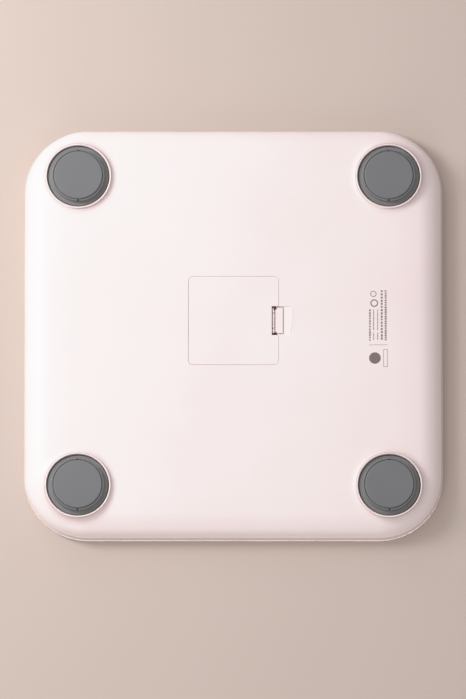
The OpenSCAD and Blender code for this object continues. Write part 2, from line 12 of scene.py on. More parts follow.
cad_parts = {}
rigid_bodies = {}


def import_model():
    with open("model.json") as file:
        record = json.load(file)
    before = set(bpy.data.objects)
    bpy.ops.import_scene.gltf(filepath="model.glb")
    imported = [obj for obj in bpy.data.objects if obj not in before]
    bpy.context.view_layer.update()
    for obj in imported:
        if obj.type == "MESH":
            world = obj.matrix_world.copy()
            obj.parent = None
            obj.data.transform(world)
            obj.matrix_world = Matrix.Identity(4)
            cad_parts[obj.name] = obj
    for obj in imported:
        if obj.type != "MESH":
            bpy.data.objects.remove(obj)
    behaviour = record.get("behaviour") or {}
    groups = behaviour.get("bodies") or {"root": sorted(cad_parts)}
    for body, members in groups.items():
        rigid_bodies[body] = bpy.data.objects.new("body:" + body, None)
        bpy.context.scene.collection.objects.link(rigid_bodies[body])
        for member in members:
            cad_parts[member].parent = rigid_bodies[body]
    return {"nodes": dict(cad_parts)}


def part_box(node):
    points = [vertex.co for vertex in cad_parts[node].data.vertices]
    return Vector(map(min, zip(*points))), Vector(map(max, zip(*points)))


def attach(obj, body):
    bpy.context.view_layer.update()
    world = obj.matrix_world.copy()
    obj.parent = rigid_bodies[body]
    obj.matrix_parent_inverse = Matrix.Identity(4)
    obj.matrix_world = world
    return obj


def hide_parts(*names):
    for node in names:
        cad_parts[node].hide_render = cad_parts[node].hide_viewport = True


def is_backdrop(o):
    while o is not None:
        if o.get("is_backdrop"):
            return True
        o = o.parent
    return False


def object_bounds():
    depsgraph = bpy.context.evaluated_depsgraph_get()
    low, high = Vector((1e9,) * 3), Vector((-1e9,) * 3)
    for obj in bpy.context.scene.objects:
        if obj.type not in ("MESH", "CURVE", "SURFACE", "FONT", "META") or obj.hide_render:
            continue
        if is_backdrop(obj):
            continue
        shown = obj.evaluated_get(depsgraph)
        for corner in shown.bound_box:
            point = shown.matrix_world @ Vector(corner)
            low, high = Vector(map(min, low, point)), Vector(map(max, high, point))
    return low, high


for stray in list(bpy.data.objects):
    bpy.data.objects.remove(stray)

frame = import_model()
cad_low, cad_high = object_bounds()
nodes = frame["nodes"]
MM = 0.001
FOOT_X, FOOT_Y = 113.1, 111.5      # the feet's axes
WHITE = (1, 1, 1, 1)


# ---------------------------------------------------------------- material helpers
def srgb(r, g, b):
    """A display colour, 0 to 255, as the linear colour that a shader socket takes."""
    def lin(c):
        c /= 255
        return c / 12.92 if c <= 0.04045 else ((c + 0.055) / 1.055) ** 2.4
    return (lin(r), lin(g), lin(b), 1.0)


class Mat:
    """A Principled material with short calls for its procedural nodes."""

    def __init__(self, name, **sockets):
        self.m = bpy.data.materials.new(name)
        self.m.use_nodes = True
        self.t = self.m.node_tree
        self.bsdf = self.t.nodes["Principled BSDF"]
        for k, v in sockets.items():
            self.bsdf.inputs[k.replace("_", " ")].default_value = v
        self.coords = self.t.nodes.new("ShaderNodeTexCoord")

    def node(self, kind, **props):
        n = self.t.nodes.new("ShaderNode" + kind)
        for k, v in props.items():
            setattr(n, k, v)
        return n

    def link(self, a, b):
        self.t.links.new(a, b)

    def stretched(self, scale):
        n = self.node("Mapping")
        n.inputs["Scale"].default_value = scale
        self.link(self.coords.outputs["Object"], n.inputs["Vector"])
        return n.outputs["Vector"]

    def noise(self, scale, detail=2.0, rough=0.5, vector=None):
        n = self.node("TexNoise")
        n.inputs["Scale"].default_value = scale
        n.inputs["Detail"].default_value = detail
        n.inputs["Roughness"].default_value = rough
        self.link(vector or self.coords.outputs["Object"], n.inputs["Vector"])
        return n.outputs["Fac"]

    def from_axis(self, x=0.0, y=0.0):
        """Distance from the upright axis at (x, y) in metres, and from its mirror images where x and y aren't 0."""
        place = self.node("SeparateXYZ")
        self.link(self.coords.outputs["Object"], place.inputs[0])
        flat = self.node("CombineXYZ")
        for axis, middle in (("X", x), ("Y", y)):
            size = self.node("Math", operation="ABSOLUTE")
            self.link(place.outputs[axis], size.inputs[0])
            off = self.node("Math", operation="SUBTRACT")
            self.link(size.outputs[0], off.inputs[0])
            off.inputs[1].default_value = middle
            self.link(off.outputs[0], flat.inputs[axis])
        length = self.node("VectorMath", operation="LENGTH")
        self.link(flat.outputs[0], length.inputs[0])
        return length.outputs["Value"]

    def ramp(self, fac, stops):
        n = self.node("ValToRGB")
        n.color_ramp.elements[0].position, n.color_ramp.elements[0].color = stops[0]
        n.color_ramp.elements[1].position, n.color_ramp.elements[1].color = stops[-1]
        for p, c in stops[1:-1]:
            n.color_ramp.elements.new(p).color = c
        self.link(fac, n.inputs["Fac"])
        return n.outputs["Color"]

    def span(self, fac, low, high, from_low, from_high):
        n = self.node("MapRange")
        n.inputs["From Min"].default_value = from_low
        n.inputs["From Max"].default_value = from_high
        n.inputs["To Min"].default_value = low
        n.inputs["To Max"].default_value = high
        self.link(fac, n.inputs["Value"])
        return n.outputs["Result"]

    def colour(self, socket):
        self.link(socket, self.bsdf.inputs["Base Color"])

    def roughness(self, socket):
        self.link(socket, self.bsdf.inputs["Roughness"])

    def bump(self, height, distance):
        n = self.node("Bump")
        n.inputs["Distance"].default_value = distance
        self.link(height, n.inputs["Height"])
        self.link(n.outputs["Normal"], self.bsdf.inputs["Normal"])


def collar_painted_shade(m, colour):
    """A colour with painted shade: faintly darkened in the concave fillets round the four collars, 22 to 30 mm from an
    axis, where shade falls.
    """
    radius = m.span(m.from_axis(FOOT_X * MM, FOOT_Y * MM), 0, 1, 22 * MM, 30 * MM)
    ring = m.ramp(radius, [(0.19, WHITE), (0.27, (0.91, 0.87, 0.87, 1)), (0.42, (0.96, 0.94, 0.94, 1)), (0.75, WHITE)])
    both = m.node("VectorMath", operation="MULTIPLY")
    m.link(colour, both.inputs[0])
    m.link(ring, both.inputs[1])
    return both.outputs[0]


def plastic(name, low, high, rough=(0.34, 0.46), grain=2600, depth=0.00002, painted_shade=None, **sockets):
    """Moulded plastic: a slow drift of colour, a fine spark-eroded grain, roughness that varies with it."""
    m = Mat(name, **sockets)
    drift = m.ramp(m.noise(9, 3.0, 0.55), [(0.3, low), (0.7, high)])
    # painted shade, where given, darkens the drifting colour
    m.colour(painted_shade(m, drift) if painted_shade else drift)
    m.roughness(m.span(m.noise(54, 4.0, 0.6), *rough, 0.3, 0.7))
    m.bump(m.noise(grain, 2.0, 0.6), depth)
    return m.m


def metal(name, low, high, rough=(0.22, 0.4), stretch=(40, 3000, 3000)):
    """Metal with fine brushing or rolling marks along X."""
    m = Mat(name, Metallic=1.0)
    streak = m.noise(1.0, 4.0, 0.65, m.stretched(stretch))
    m.colour(m.ramp(streak, [(0.25, low), (0.75, high)]))
    m.roughness(m.span(streak, *rough, 0.25, 0.75))
    m.bump(streak, 0.00001)
    return m.m


def spun(name, low, high):
    """Stainless steel spun in fine circles about the piece's own axis."""
    m = Mat(name, Metallic=1.0)
    radius = m.node("CombineXYZ")
    m.link(m.from_axis(), radius.inputs["X"])
    lines = m.noise(9000, 2.0, 0.7, radius.outputs[0])
    m.colour(m.ramp(lines, [(0.3, low), (0.7, high)]))
    m.roughness(m.span(lines, 0.24, 0.38, 0.3, 0.7))
    m.bump(lines, 0.000006)
    return m.m


# ---------------------------------------------------------------- materials
POLISHED = {"Coat_Weight": 1.0, "Coat_Roughness": 0.03}

by_slot = {
    "tempered_glass": plastic("glass_white", srgb(236, 226, 224), srgb(238, 228, 226), (0.3, 0.34), **POLISHED),
    # the shell's colour has painted shade in the fillets round the four collars
    "shell_plastic": plastic("shell_satin", srgb(246, 229, 229), srgb(250, 235, 235), painted_shade=collar_painted_shade),
    "inner_plastic": plastic("inner_white", srgb(226, 224, 220), srgb(232, 230, 226)),
    "grey_rubber": plastic("foot_rubber", srgb(111, 112, 115), srgb(119, 120, 123), (0.5, 0.66), 1800, 0.00004),
    "cup_plastic": plastic("cup_grey", srgb(120, 121, 122), srgb(128, 129, 130), (0.4, 0.5)),
    "electrode_steel": metal("electrode_brushed", srgb(196, 196, 196), srgb(222, 221, 219)),
    "cell_steel": metal("cell_rolled", srgb(188, 188, 186), srgb(210, 209, 206), (0.3, 0.5)),
    "screw_steel": metal("screw_zinc", srgb(176, 178, 182), srgb(204, 205, 208), stretch=(900, 900, 900)),
    "nickel_plate": metal("contact_nickel", srgb(206, 202, 192), srgb(226, 222, 212), (0.16, 0.3)),
    "wire_insulation": plastic("wire_pvc", srgb(190, 60, 50), srgb(200, 66, 56)),
    "white_tape": plastic("tape_white", srgb(232, 230, 226), srgb(238, 236, 232), (0.6, 0.75)),
    "sealant": plastic("sealant_white", srgb(234, 222, 220), srgb(240, 228, 226), (0.4, 0.5)),
    "smoked_film": plastic("film_smoked", srgb(26, 26, 28), srgb(30, 30, 32), (0.1, 0.14)),
    "display_plastic": plastic("display_case", srgb(210, 210, 206), srgb(220, 220, 216)),
    "circuit_board": plastic("board_green", srgb(24, 84, 52), srgb(30, 94, 58), (0.3, 0.4)),
    "chip_black": plastic("chip_black", srgb(26, 26, 27), srgb(34, 34, 35), (0.4, 0.55)),
    "connector_plastic": plastic("connector_cream", srgb(226, 218, 196), srgb(234, 226, 204)),
    "gauge_coat": plastic("gauge_coat", srgb(226, 226, 222), srgb(236, 236, 232)),
    "battery_wrap": plastic("battery_wrap", srgb(40, 70, 90), srgb(46, 78, 98), (0.2, 0.3)),
    "foam": plastic("foam_grey", srgb(70, 70, 72), srgb(84, 84, 86), (0.85, 0.95), 900, 0.0003),
}
# A paler copy of the foot rubber: painted light on the sunken margin, which lies in the collar's shade
margin_painted_light_mat = plastic("foot_margin", srgb(128, 127, 127), srgb(136, 135, 135), (0.6, 0.75), 1800, 0.00004)
edge_mat = plastic("glass_edge", srgb(219, 202, 198), srgb(225, 208, 204), (0.36, 0.46))
digit_mat = plastic("digit_unlit", srgb(44, 44, 46), srgb(48, 48, 50), (0.1, 0.14), **POLISHED)
band_mat = plastic("battery_band", srgb(196, 150, 88), srgb(204, 158, 96), (0.2, 0.3))
ink_mat = plastic("print_grey", srgb(118, 105, 103), srgb(126, 113, 111), (0.5, 0.6))
spun_mat = spun("electrode_spun", srgb(198, 198, 198), srgb(220, 219, 217))

for node in nodes.values():
    slots = node.data.materials
    finish = by_slot[slots[0].name.split(".")[0]]
    for i in range(len(slots)):
        slots[i] = finish


# ---------------------------------------------------------------- mesh helpers
def rounded(points, radii, steps=4):
    """A profile of (r, z) points with its corners rounded. radii has one entry for each point, 0 to keep it sharp."""
    out = []
    for i, p in enumerate(points):
        if radii[i] == 0 or i in (0, len(points) - 1):
            out.append(p)
            continue
        a, c, b = Vector(points[i - 1]), Vector(p), Vector(points[i + 1])
        u, v = (a - c), (b - c)
        reach = min(radii[i], u.length * 0.49, v.length * 0.49)
        s, e = c + u.normalized() * reach, c + v.normalized() * reach
        for k in range(steps + 1):
            t = k / steps
            q = s * (1 - t) ** 2 + c * (2 * t * (1 - t)) + e * t * t
            out.append((q.x, q.y))
    return out


def circle(cx, cy, r, n=96):
    """Points round a circle, anticlockwise."""
    return [(cx + r * math.cos(2 * math.pi * k / n), cy + r * math.sin(2 * math.pi * k / n)) for k in range(n)]


def rounded_loop(half_x, half_y, r, segments, side_steps=1, cx=0.0, cy=0.0):
    """Points round a rectangle with round corners, anticlockwise. side_steps divides each straight side."""
    out = []
    for k, (sx, sy) in enumerate(((1, 1), (-1, 1), (-1, -1), (1, -1))):
        for i in range(segments + 1):
            a = math.radians(90 * k + 90 * i / segments)
            out.append((cx + sx * (half_x - r) + r * math.cos(a), cy + sy * (half_y - r) + r * math.sin(a)))
        if side_steps > 1:
            start = out[-1]
            nx, ny = ((-1, 1), (-1, -1), (1, -1), (1, 1))[k]
            a = math.radians(90 * (k + 1))
            end = (cx + nx * (half_x - r) + r * math.cos(a), cy + ny * (half_y - r) + r * math.sin(a))
            for i in range(1, side_steps):
                t = i / side_steps
                out.append((start[0] + (end[0] - start[0]) * t, start[1] + (end[1] - start[1]) * t))
    return out


def grown(loop, amount):
    """An anticlockwise loop moved outwards, with mitred corners."""
    out, n = [], len(loop)
    for i, p in enumerate(loop):
        before, p, after = Vector(loop[i - 1]), Vector(p), Vector(loop[(i + 1) % n])
        u, v = (p - before).normalized(), (after - p).normalized()
        nu, nv = Vector((u.y, -u.x)), Vector((v.y, -v.x))
        m = (nu + nv) / max(0.3, 1 + nu.dot(nv))
        out.append((p.x + m.x * amount, p.y + m.y * amount))
    return out


def within(x, y, loop):
    """Whether a point lies inside a loop."""
    hit = False
    for i in range(len(loop)):
        (ax, ay), (bx, by) = loop[i - 1], loop[i]
        if (ay > y) != (by > y) and x < (bx - ax) * (y - ay) / (by - ay) + ax:
            hit = not hit
    return hit


def triangulated(groups):
    """Points and triangles that fill a plane. A group is (points, closed), and the sides of a closed one are kept."""
    points, edges = [], []
    for group, closed in groups:
        start, n = len(points), len(group)
        points += [Vector(p) for p in group]
        if closed:
            edges += [(start + i, start + (i + 1) % n) for i in range(n)]
    co, _, faces, _, _, _ = delaunay_2d_cdt(points, edges, [], 0, 1e-6, False)
    return co, faces


def middle_of(face, co):
    return [sum(co[i][k] for i in face) / len(face) for k in (0, 1)]


PER_MM = 200        # steps to the millimetre in a table of vertices by place. The rim's first two rings are 0.026 apart


def table_of(co, verts):
    return {(round(p.x * PER_MM), round(p.y * PER_MM)): v for p, v in zip(co, verts)}


def find_verts(loop, table):
    """The vertices already made at a loop's points."""
    out = []
    for x, y in loop:
        kx, ky = round(x * PER_MM), round(y * PER_MM)
        near = [(kx + i, ky + j) for i in (0, -1, 1) for j in (0, -1, 1)]
        out.append(next(table[k] for k in near if k in table))
    return out


def new_verts(bm, loop, z):
    return [bm.verts.new((x * MM, y * MM, z * MM)) for x, y in loop]


def band(bm, lower, upper, part=0, flip=False):
    """Joins two rings of vertices with a strip of faces."""
    n = len(lower)
    for i in range(n):
        q = (lower[i], lower[(i + 1) % n], upper[(i + 1) % n], upper[i])
        bm.faces.new(q[::-1] if flip else q).material_index = part


def skirt(bm, ring, loops, part=0, flip=False):
    """Adds a ring of vertices for each (loop, z), joined to the one before it, and gives back the last ring."""
    for loop, z in loops:
        following = new_verts(bm, loop, z)
        band(bm, ring, following, part, flip)
        ring = following
    return ring


def mesh_from(name, bm):
    mesh = bpy.data.meshes.new(name)
    bm.to_mesh(mesh)
    bm.free()
    return mesh


def place_in_scene(name, data):
    obj = bpy.data.objects.new(name, data)
    bpy.context.scene.collection.objects.link(obj)
    return obj


def piece(name, bm, smooth=35):
    """Turns a bmesh into an object with smooth shading that breaks at edges sharper than the angle given."""
    mesh = mesh_from(name, bm)
    mesh.shade_smooth()
    mesh.set_sharp_from_angle(angle=math.radians(smooth))
    return place_in_scene(name, mesh)


def lathe(name, profile, place, segments=160, shift=None, parts=None):
    """A solid of revolution about its own Z. profile is (r, z) in mm from the axis and back to it. shift(r, z, angle)
    may move a point, and parts gives each stretch of the profile a material index."""
    bm = bmesh.new()
    rings = []
    for r, z in profile:
        if r < 1e-6:
            rings.append([bm.verts.new((0, 0, z * MM))])
            continue
        ring = []
        for k in range(segments):
            a = 2 * math.pi * k / segments
            rr, zz = shift(r, z, a) if shift else (r, z)
            ring.append(bm.verts.new((rr * math.cos(a) * MM, rr * math.sin(a) * MM, zz * MM)))
        rings.append(ring)
    for i, (lower, upper) in enumerate(zip(rings, rings[1:])):
        for k in range(segments):
            n = (k + 1) % segments
            if len(lower) == 1:
                f = bm.faces.new((lower[0], upper[n], upper[k]))
            elif len(upper) == 1:
                f = bm.faces.new((lower[k], lower[n], upper[0]))
            else:
                f = bm.faces.new((lower[k], lower[n], upper[n], upper[k]))
            f.material_index = parts[i] if parts else 0
    bmesh.ops.recalc_face_normals(bm, faces=bm.faces)
    obj = piece(name, bm)
    obj.matrix_world = place
    return obj


def finish_piece(obj, materials, body, slot, *stands_for):
    """Gives a piece its materials and its body, and hides the CAD nodes that it replaces. The slot is not used."""
    for m in materials:
        obj.data.materials.append(m)
    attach(obj, body)
    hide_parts(*stands_for)


def middle(name):
    low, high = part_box(name)
    return (low + high) / 2


# ---------------------------------------------------------------- rubber feet
# A raised disc, a groove, a narrow band, and a sunken margin down inside the collar in a paler copy of the rubber:
# painted light that lifts the shade there
PAD = [(0, 0), (16.9, 0), (17.35, 0.45), (17.5, 1.3), (17.9, 1.3), (18.05, 0.7), (18.75, 0.9), (18.95, 1.3),
       (18.95, 4.9), (19.4, 5.0), (21.2, 5.05), (21.55, 5.3), (21.6, 5.6), (0, 5.6)]
PAD_ROUND = [0, 0.3, 0.2, 0.1, 0.1, 0.15, 0.15, 0.15, 0.2, 0.1, 0.2, 0.1, 0, 0]
CORNER_NAMES = ("front_left", "front_right", "rear_left", "rear_right")


def mould_notch(r, z, a):
    """Two small notches through the pad's narrow band, where its mould was filled, on the X axis."""
    in_band = 17.7 < r < 19.2 and z < 3.5
    return (r, 3.5) if in_band and abs(math.sin(a)) * r < 0.5 else (r, z)


pad_profile = rounded(PAD, PAD_ROUND)
# the sunken margin takes the paler rubber, painted light
pad_parts = [int(r > 18.96 and z > 4.8) for r, z in pad_profile]
for corner in CORNER_NAMES:
    at = middle("foot_pad_" + corner)
    pad = lathe("rubber_foot_" + corner, pad_profile, Matrix.Translation((at.x, at.y, 0)),
                shift=mould_notch, parts=pad_parts)
    finish_piece(pad, [by_slot["grey_rubber"], margin_painted_light_mat], "foot_" + corner, "grey_rubber", "foot_pad_" + corner)

# ---------------------------------------------------------------- moulded base
HALF = 148.9                            # half width of the base's rim
CORNER = 44.9                           # its corner radius
RIM_Z, RIM_ARC_Z, BASE_Z = 20.6, 20.1, 6.2
# The outside in section, from the rim in: an arc to FLANK_A degrees, a wider one to CROWN_A, then a nearly flat crown
RIM_R, FLANK_R, CROWN_R = 11.0, 23.244, 207.2
FLANK_IN, CROWN_IN = 18.0, 34.03        # how far in the two wider arcs have their lowest points
FLANK_Z = BASE_Z + 0.7 + FLANK_R
FLANK_A, CROWN_A = 55.14, 85.0
FEET = [(sx * FOOT_X, sy * FOOT_Y) for sx in (-1, 1) for sy in (-1, 1)]
# The collar's inner wall, and the flare that leads from the shell up to its lip
WALL_R, FLARE_R, FLARE_W, FLARE_Z = 22.4, 24.0, 5.6, 4.4
# The lip as (radius, height), with a fine groove outside it, over its rounded top and down the wall
LIP = [(23.94, 4.8), (23.72, 4.85), (23.66, 3.85), (23.56, 3.6), (23.4, 3.46), (23.15, 3.4), (22.85, 3.46),
       (22.62, 3.65), (22.48, 3.95), (WALL_R, 4.3), (WALL_R, 7.0), (WALL_R, 11.0)]
CLEAR = FLARE_R + FLARE_W + 0.35        # the open shell's points keep this far from a foot's axis
DOOR_X = -7.5
RECESS_HALF, RECESS_R = 32.45, 3.5      # the door's square recess
SCOOP_HALF, SCOOP_Y, SCOOP_R = 10.4, -42.7, 1.2
EASE = 0.22                             # width of the small round on the recess's edge
EASE_Z = 0.24                           # and its depth


def foot_distance(x, y):
    return min(math.hypot(x - fx, y - fy) for fx, fy in FEET)


def arc_in(radius, degrees):
    """How far an arc has come in from its outermost point."""
    return radius * (1 - math.cos(math.radians(degrees)))


def flank_in(degrees):
    return FLANK_IN - FLANK_R * math.cos(math.radians(degrees))


def flank_z(d):
    """Height of the moulded base's outside at a distance d in from its rim."""
    if d <= arc_in(RIM_R, FLANK_A):
        return RIM_ARC_Z - math.sqrt(max(0.0, RIM_R ** 2 - (RIM_R - d) ** 2))
    if d <= flank_in(CROWN_A):
        return FLANK_Z - math.sqrt(FLANK_R ** 2 - (FLANK_IN - d) ** 2)
    if d <= CROWN_IN:
        return BASE_Z + CROWN_R - math.sqrt(CROWN_R ** 2 - (CROWN_IN - d) ** 2)
    return BASE_Z


def inset(x, y):
    """How far a point lies in from the rim of the rounded square."""
    u, v = abs(x) - (HALF - CORNER), abs(y) - (HALF - CORNER)
    if u > 0 and v > 0:
        return CORNER - math.hypot(u, v)
    return CORNER - max(u, v)


def skin_z(x, y):
    """Outside height of the base, with the collars' flares blended in."""
    z = flank_z(max(0.0, inset(x, y)))
    for fx, fy in FEET:
        t = (math.hypot(x - fx, y - fy) - FLARE_R) / FLARE_W
        if t < 1:
            t = max(t, 0.0)
            z -= (z - FLARE_Z) * (1 - math.sqrt(t * (2 - t))) ** 1.25
    return z


def skin_normal(x, y):
    """The way the outside faces: from its arc beside the rim, where it is nearly upright, and from its slope inside."""
    d = inset(x, y)
    if d < 0.4:
        a = math.acos(min(1.0, max(0.0, (RIM_R - d) / RIM_R)))
        u, w = max(abs(x) - (HALF - CORNER), 0), max(abs(y) - (HALF - CORNER), 0)
        out = Vector((math.copysign(u, x), math.copysign(w, y), 0)).normalized()
        return (out * math.cos(a) + Vector((0, 0, -math.sin(a)))).normalized()
    e = 0.02
    dx = (skin_z(x + e, y) - skin_z(x - e, y)) / (2 * e)
    dy = (skin_z(x, y + e) - skin_z(x, y - e)) / (2 * e)
    return Vector((dx, dy, -1)).normalized()


def recess_loop():
    """Outline of the door's recess joined with the finger scoop."""
    loop = rounded_loop(RECESS_HALF, RECESS_HALF, RECESS_R, 6, 1, DOOR_X)
    start = 3 * 7              # the corner at +X, -Y begins here, after three corners of seven points
    cut = [(DOOR_X - SCOOP_HALF, -RECESS_HALF)]
    for side, first in ((-1, 180), (1, 270)):
        for k in range(5):
            a = math.radians(first + 22.5 * k)
            cut.append((DOOR_X + side * (SCOOP_HALF - SCOOP_R) + SCOOP_R * math.cos(a),
                        SCOOP_Y + SCOOP_R + SCOOP_R * math.sin(a)))
    cut.append((DOOR_X + SCOOP_HALF, -RECESS_HALF))
    return loop[:start] + cut + loop[start:]


def around(foot, r):
    """Points round a foot's axis."""
    return circle(*foot, r, 128)


def base_loop(d):
    """Points round the base at a distance d in from its rim."""
    return rounded_loop(HALF - d, HALF - d, max(CORNER - d, 0.5), 24, 26)


def plan_skin(rim, lip):
    """The outside's points and triangles in plan, which keep the rim, the collars and the recess."""
    depths = [arc_in(RIM_R, FLANK_A * i / 14) for i in range(1, 15)]
    depths += [flank_in(FLANK_A + (CROWN_A - FLANK_A) * i / 9) for i in range(1, 10)]
    depths += [CROWN_IN - (CROWN_IN - flank_in(CROWN_A)) * (1 - i / 5) for i in range(1, 6)]
    groups = [(rim, True)]
    groups += [([p for p in base_loop(d) if foot_distance(*p) > CLEAR], False) for d in depths]
    for foot in FEET:
        groups.append((around(foot, FLARE_R), True))
        groups += [(around(foot, FLARE_R + FLARE_W * (i / 12) ** 1.5), False) for i in range(1, 13)]
    groups.append((lip, True))
    grid = []
    for i in range(-9, 10):
        for j in range(-9, 10):
            x, y = i * 12.0 + 0.7, j * 12.0 + 0.4
            by_recess = abs(x - DOOR_X) < 37 and -47 < y < 37
            if not by_recess and inset(x, y) >= CROWN_IN + 2 and foot_distance(x, y) >= CLEAR + 2:
                grid.append((x, y))
    return triangulated(groups + [(grid, False)])


def build_skin():
    """The base's outside as a bmesh, and the normals of its curved part by vertex number."""
    rim = base_loop(0)
    hole = recess_loop()
    lip = grown(hole, EASE)
    co, faces = plan_skin(rim, lip)
    bm = bmesh.new()
    verts = [bm.verts.new((p.x * MM, p.y * MM, skin_z(p.x, p.y) * MM)) for p in co]
    normals = {i: skin_normal(p.x, p.y) for i, p in enumerate(co)}
    table = table_of(co, verts)
    for f in faces:
        x, y = middle_of(f, co)
        if foot_distance(x, y) >= FLARE_R - 0.01 and not within(x, y, lip):
            bm.faces.new([verts[i] for i in reversed(f)])
    # the short upright band below the glass
    skirt(bm, find_verts(rim, table), [(rim, RIM_Z)])
    for foot in FEET:
        skirt(bm, find_verts(around(foot, FLARE_R), table), [(around(foot, r), z) for r, z in LIP], flip=True)
    # the recess's edge is eased by a small round
    rounding = ((0.12, 0.03), (0.03, 0.11), (0.0, EASE_Z))
    skirt(bm, find_verts(lip, table), [(grown(hole, out), BASE_Z + rise) for out, rise in rounding], flip=True)
    return bm, normals


def is_outside(f):
    """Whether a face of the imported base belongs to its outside, which the skin stands for."""
    c, n = f.calc_center_median() / MM, f.normal
    if all(abs(v.co.z / MM - BASE_Z) < 0.004 for v in f.verts):
        return True                                             # the flat underside
    if abs(c.x - DOOR_X) < 33.2 and -43.5 < c.y < 33.2:
        return False                                            # the battery bay, the ledges and the scoop
    r, d = foot_distance(c.x, c.y), inset(c.x, c.y)
    if abs(r - WALL_R) < 0.1 and c.z < 11.01:
        return True                                             # a collar's inner wall
    if r < 27.3 and c.z < min(skin_z(c.x, c.y) + 0.35, 10.5):
        return True                                             # its lip and flare
    if d < 8 and n.x * c.x + n.y * c.y > 0 and abs(n.z) < 0.999 and n.z < 0.1:
        return True                                             # the rim
    return n.z < -0.3 and c.z < flank_z(max(d, 0)) + 0.5        # the flank


def inner_base():
    """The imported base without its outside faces: its inner walls, the battery bay, the ledges and the scoop's floor."""
    bm = bmesh.new()
    bm.from_mesh(nodes["base_shell"].data)
    bmesh.ops.remove_doubles(bm, verts=bm.verts, dist=1e-7)
    bmesh.ops.delete(bm, geom=[f for f in bm.faces if is_outside(f)], context="FACES")
    for v in bm.verts:
        x, y, z = v.co / MM
        if abs(z - BASE_Z) < 0.004 and abs(x - DOOR_X) < 33.5 and -43.5 < y < 33.5:
            v.co.z = (BASE_Z + EASE_Z) * MM
    bmesh.ops.triangulate(bm, faces=bm.faces)
    return mesh_from("inner", bm)


whole, skin_normals = build_skin()
skin_faces = len(whole.faces)
whole.from_mesh(inner_base())
base = piece("moulded_base", whole, 32)
loop_normals = [n.vector.copy() for n in base.data.corner_normals]
for poly in base.data.polygons[:skin_faces]:
    for li in poly.loop_indices:
        vi = base.data.loops[li].vertex_index
        if vi in skin_normals:
            loop_normals[li] = skin_normals[vi]
base.data.normals_split_custom_set(loop_normals)
finish_piece(base, [by_slot["shell_plastic"]], "root", "shell_plastic", "base_shell")

# ---------------------------------------------------------------- glass platform
GLASS_LOW, GLASS_HIGH = 21.0, 26.0
GLASS_HALF, GLASS_CORNER, GLASS_ROUND = 150, 46, 1.3
TOP, FILM, EDGE, DIGIT = range(4)       # the plate's materials
ELECTRODES = {n: middle("electrode_" + n) / MM for n in CORNER_NAMES}
DISPLAY_Y = 102
BAR_W, BAR_L = 1.7, 6.6
BARS = ((0, 7.4, False), (0, 0, False), (0, -7.4, False),
        (-4, 3.7, True), (4, 3.7, True), (-4, -3.7, True), (4, -3.7, True))


def digit_bars(cx, cy):
    """The seven bars of one digit of the display, as pointed loops."""
    out = []
    for dx, dy, upright in BARS:
        long, wide = BAR_L / 2 - 0.35, BAR_W / 2
        pts = [(-long, 0), (-long + wide, -wide), (long - wide, -wide),
               (long, 0), (long - wide, wide), (-long + wide, wide)]
        if upright:
            pts = [(-q, p) for p, q in pts]
        out.append([(cx + dx + p, cy + dy + q) for p, q in pts])
    return out


def fill(bm, z, loops, holes, part, upwards):
    """Fills the plane at height z between loops, but for the holes. part(x, y) gives the material index. Gives back
    the table of its vertices."""
    co, faces = triangulated([(loop, True) for loop in loops + holes])
    verts = [bm.verts.new((p.x * MM, p.y * MM, z * MM)) for p in co]
    for f in faces:
        x, y = middle_of(f, co)
        if not any(within(x, y, hole) for hole in holes):
            face = bm.faces.new([verts[i] for i in (f if upwards else reversed(f))])
            face.material_index = part(x, y)
    return table_of(co, verts)


def build_glass():
    def outline(d):
        return rounded_loop(GLASS_HALF - d, GLASS_HALF - d, GLASS_CORNER - d, 32, 24)

    bm = bmesh.new()
    rim, flat = outline(GLASS_ROUND), outline(GLASS_ROUND + 0.06)
    window = rounded_loop(33, 12.5, 2.5, 8, 1, 0, DISPLAY_Y)
    marks = [bar for x in (-19, 0, 19) for bar in digit_bars(x, DISPLAY_Y)] + [circle(28.6, 94.2, 1.0, 12)]
    holes_top = [circle(e.x, e.y, 21.4) for e in ELECTRODES.values()]
    holes_low = [circle(e.x, e.y, 21.15) for e in ELECTRODES.values()]

    def part(x, y):
        if not within(x, y, window):
            return TOP
        return DIGIT if any(within(x, y, mark) for mark in marks) else FILM

    top = fill(bm, GLASS_HIGH, [rim, flat, window] + marks, holes_top, part, True)
    low = fill(bm, GLASS_LOW, [rim, flat], holes_low, lambda x, y: EDGE, False)
    # the rounded edge as (how far in, how far from the face) in 15 degree steps
    bend = [math.radians(15 * i) for i in range(7)]
    edge = [(GLASS_ROUND * (1 - math.sin(a)), GLASS_ROUND * (1 - math.cos(a))) for a in bend]
    side = [(outline(d), GLASS_LOW + h) for d, h in edge[1:]]
    side += [(outline(d), GLASS_HIGH - h) for d, h in reversed(edge[1:])]
    band(bm, skirt(bm, find_verts(rim, low), side, EDGE), find_verts(rim, top), EDGE)
    for wide, narrow in zip(holes_top, holes_low):
        wall = skirt(bm, find_verts(wide, top), [(narrow, GLASS_HIGH - 0.25)], EDGE)
        band(bm, wall, find_verts(narrow, low), EDGE)
    return piece("glass_plate", bm, 30)


finish_piece(build_glass(), [by_slot["tempered_glass"], by_slot["smoked_film"], edge_mat, digit_mat],
             "root", "tempered_glass", "glass_platform")

# Steel electrodes: shallow turned cups with an eased rim, spun so that fine circles show
CUP = [(0, 26), (20.55, 26), (20.85, 25.9), (21, 25.6), (21, 21), (20.2, 21), (20.2, 25.2), (0, 25.2)]
CUP_ROUND = [0, 0.2, 0.15, 0.15, 0.1, 0.1, 0.2, 0]
for corner, e in ELECTRODES.items():
    cup = lathe("touch_electrode_" + corner, rounded(CUP, CUP_ROUND), Matrix.Translation((e.x * MM, e.y * MM, 0)))
    finish_piece(cup, [spun_mat], "root", "electrode_steel", "electrode_" + corner)

